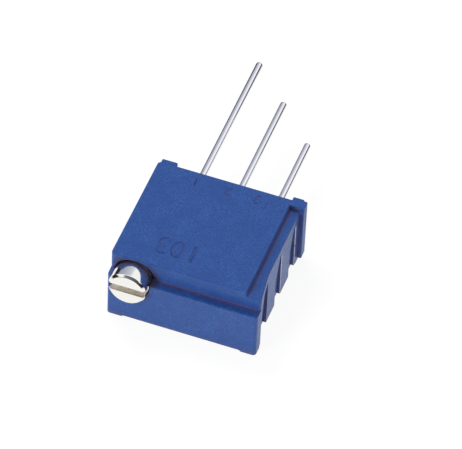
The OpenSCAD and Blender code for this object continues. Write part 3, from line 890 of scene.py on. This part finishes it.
def stretchedMetal(name, settings):
    material, tree, place = newMaterial(name)
    lay = add(tree, "ShaderNodeMapping", {"Scale": settings["along"]}, {"Vector": place})
    lines = add(tree, "ShaderNodeTexNoise", {"Scale": scaleFor(settings["grain"]), "Detail": 3},
                {"Vector": lay.outputs["Vector"]})
    workedMetal(tree, place, lines, settings)
    return material


def makePins(settings):
    wire = stretchedMetal("tinnedWire", tinnedWire)
    start, thick = settings["flatEnd"], settings["flatThickness"]
    for i in (1, 2, 3):
        low, high, middle = boxOf(f"pin_{i}")
        radius = (high.z - low.z) / 2
        outline = [(0, start), (radius, start), (radius, high.y), (0, high.y)]
        form = turned(filleted(outline, settings["tip"]), middle.x, low.z + radius, settings["sides"])
        flat = bmesh.new()
        bmesh.ops.create_cube(flat, size=1)
        end = start + settings["flatPast"]
        setBox(flat, (settings["flatWidth"], end - low.y, thick),
               (middle.x, (end + low.y) / 2, low.z + thick / 2))
        bmesh.ops.bevel(flat, geom=flat.edges[:], offset=settings["flatEdge"], segments=2, profile=0.5,
                        affect="EDGES")
        form.from_mesh(meshOf(flat, "flat"))
        placePiece(f"pin{i}Wire", meshOf(form, "pinWire"), "case", [f"pin_{i}"], [wire])


makePins(pinShape)
print("pins made")

# Common to the finishes inside
insideLook = {
    "bump": 0.6,
    "waveLength": 0.314,  # of a Wave texture at scale 1
    "waveBend": 0.6,
    "skinRoughness": 0.15,
    "throughTint": (1, 0.8, 0.5),  # how far red, green and blue light gets
    "throughDepth": 0.3,  # mm
    "edgeSteps": 2,
    "edgeAngle": 40,  # degrees, sharper than this is an edge
}
# Filled epoxy that was poured and levelled itself: smooth, with faint clouds of filler
castEpoxy = {"base": "#22335C", "shade": "#2E4474", "patch": 0.9, "grain": 0.12, "roughness": (0.16, 0.34),
             "relief": 0.002, "skin": 0.35}
# Finishes of the parts that are dressed as they are. All sizes in mm: patch and grain are those of the two
# patterns, weave the mesh of a printing screen, relief how deep the grain is and rounding the radius of the
# edges. The numbers in along stretch the patterns
insideFinishes = {
    # Compression-moulded rubber with a talc bloom
    "siliconeRubber": {"base": "#1A1A1C", "shade": "#323236", "patch": 0.25, "grain": 0.03,
                       "roughness": (0.5, 0.68), "relief": 0.002, "nodes": ("screw_seal_ring",)},
    # Cold-rolled sheet, punched: rolling lines across the part and duller sheared edges
    "rolledStainless": {"base": "#B4B4B0", "shade": "#8E8E8C", "patch": 0.3, "grain": 0.03, "metal": 1,
                        "roughness": (0.2, 0.42), "relief": 0.0015, "along": (0.12, 1, 1), "rounding": 0.015,
                        "nodes": ("screw_clip",)},
    # Natural polyamide: ivory, a little light goes through its teeth
    "naturalPolyamide": {"base": "#EDE6D2", "shade": "#E6DDC6", "patch": 0.8, "grain": 0.08,
                         "roughness": (0.32, 0.46), "relief": 0.002, "through": 0.25, "rounding": 0.014,
                         "nodes": ("worm_wheel",)},
    # Heat-treated spring alloy: straw colour with a bluish bloom, rolled along the fingers
    "springAlloy": {"base": "#D3BE8C", "shade": "#A99C84", "patch": 0.5, "grain": 0.025, "metal": 1,
                    "roughness": (0.14, 0.32), "relief": 0.001, "along": (1, 0.1, 1), "rounding": 0.008,
                    "nodes": ("wiper",)},
    # Fired alumina: off-white, matt, with a fine crystalline grain
    "firedAlumina": {"base": "#EFEDE6", "shade": "#E7E4DA", "patch": 0.6, "grain": 0.04,
                     "roughness": (0.5, 0.68), "relief": 0.003, "through": 0.1, "rounding": 0.03,
                     "nodes": ("substrate",)},
    # Ruthenium-glass film: near black, glassy, with the mesh of the printing screen in it
    "cermetFilm": {"base": "#2B2622", "shade": "#3B322B", "patch": 0.35, "grain": 0.05,
                   "roughness": (0.26, 0.44), "relief": 0.002, "weave": 0.07, "nodes": ("resistive_track",)},
    # Silver film fired on: matt, warm where it has tarnished
    "firedSilver": {"base": "#D2CDC2", "shade": "#A89A80", "patch": 0.45, "grain": 0.04, "metal": 1,
                    "roughness": (0.32, 0.5), "relief": 0.002, "weave": 0.07,
                    "nodes": ("collector", "termination_1", "termination_3")},
    # Solder as it froze: bright, with soft dendrites
    "frozenSolder": {"base": "#C3C7CC", "shade": "#9CA0A6", "patch": 0.2, "grain": 0.05, "metal": 1,
                     "roughness": (0.12, 0.34), "relief": 0.004,
                     "nodes": ("solder_1", "solder_2", "solder_3")},
}


def insideFinish(name, look, common):
    material, tree, place = newMaterial(name)
    lay = add(tree, "ShaderNodeMapping", {"Scale": look.get("along", (1, 1, 1))}, {"Vector": place})
    cloud, grain = (add(tree, "ShaderNodeTexNoise", {"Scale": scaleFor(look[key]), "Detail": 3},
                        {"Vector": lay.outputs["Vector"]}) for key in ("patch", "grain"))
    patches = add(tree, "ShaderNodeMapRange", cloudRange, {"Value": cloud.outputs["Fac"]})
    tint = add(tree, "ShaderNodeMix", {6: colour(look["base"]), 7: colour(look["shade"])},
               {0: patches.outputs["Result"]}, data_type="RGBA")
    smooth, rough = look["roughness"]
    dull = add(tree, "ShaderNodeMapRange", links={"Value": grain.outputs["Fac"]},
               values={**noiseRange, "To Min": smooth, "To Max": rough})
    height = grain.outputs["Fac"]
    if "weave" in look:
        scale = common["waveLength"] * scaleFor(look["weave"])
        for direction in ("X", "Y"):
            thread = add(tree, "ShaderNodeTexWave", {"Scale": scale, "Distortion": common["waveBend"]},
                         {"Vector": place}, bands_direction=direction)
            height = add(tree, "ShaderNodeMath", links={0: height, 1: thread.outputs["Fac"]}).outputs[0]
    bump = add(tree, "ShaderNodeBump", links={"Height": height},
               values={"Strength": common["bump"], "Distance": look["relief"] * millimetre})
    shader = add(tree, "ShaderNodeBsdfPrincipled",
                 values={"Metallic": look.get("metal", 0), "Coat Weight": look.get("skin", 0),
                         "Coat Roughness": common["skinRoughness"],
                         "Subsurface Weight": look.get("through", 0),
                         "Subsurface Radius": common["throughTint"],
                         "Subsurface Scale": common["throughDepth"] * millimetre},
                 links={"Base Color": tint.outputs[2], "Roughness": dull.outputs["Result"],
                        "Normal": bump.outputs["Normal"]})
    add(tree, "ShaderNodeOutputMaterial", links={"Surface": shader.outputs[0]})
    return material


# All in mm
sealShape = {
    "creep": 0.09,  # how far the epoxy stands up round a pin
    "spread": 0.16,  # from the pin to the foot of that rise
    "lap": 0.02,  # how far the rise goes into the flat of the epoxy
    "clear": 0.002,  # between the rise and the pin
}


# Low cones of epoxy that crept up the pins, one for each pin of the row
def epoxyMenisci():
    tree, given = newTree("epoxyMenisci", Pins="Int", Pitch="Float", Inner="Float", Outer="Float",
                          Height="Float", Finish="Material")
    step = add(tree, "ShaderNodeCombineXYZ", links={"X": given["Pitch"]})
    row = add(tree, "GeometryNodeMeshLine", links={"Count": given["Pins"], "Offset": step.outputs[0]})
    cone = add(tree, "GeometryNodeMeshCone", {"Vertices": 40},
               {"Radius Top": given["Inner"], "Radius Bottom": given["Outer"], "Depth": given["Height"]})
    along = add(tree, "GeometryNodeTransform", {"Rotation": (math.radians(-90), 0, 0)},
                {"Geometry": cone.outputs[0]})
    placed = add(tree, "GeometryNodeInstanceOnPoints",
                 links={"Points": row.outputs[0], "Instance": along.outputs[0]})
    endTree(tree, placed.outputs[0], given["Finish"])
    return tree


def makeSeal(settings, epoxy):
    first, second = (boxOf(f"pin_{i}")[2] for i in (1, 2))
    pinLow, pinHigh, _ = boxOf("pin_1")
    face = boxOf("back_seal")[1].y
    radius = (pinHigh.z - pinLow.z) / 2
    lap = settings["lap"]
    rise = grown(epoxyMenisci(), Pins=3, Pitch=second.x - first.x, Inner=radius + settings["clear"],
                 Outer=radius + settings["spread"], Height=settings["creep"] + lap, Finish=epoxy)
    low = min(vert.co.y for vert in rise.vertices)
    rise.transform(Matrix.Translation((first.x, face - lap - low, pinLow.z + radius)))
    form = closedForm("back_seal")
    form.from_mesh(rise)
    placePiece("pottedSeal", meshOf(form, "pottedSeal"), "case", ["back_seal"], [epoxy])


makeSeal(sealShape, insideFinish("castEpoxy", castEpoxy, insideLook))
print("seal made")

for name, look in insideFinishes.items():
    material = insideFinish(name, look, insideLook)
    for nodeName in look["nodes"]:
        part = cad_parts[nodeName]
        part.data.materials.clear()
        part.data.materials.append(material)
        if "rounding" in look:
            edges = part.modifiers.new("edges", "BEVEL")
            edges.width = look["rounding"] * millimetre
            edges.segments = insideLook["edgeSteps"]
            edges.limit_method = "ANGLE"
            edges.angle_limit = math.radians(insideLook["edgeAngle"])
print("finishes made")
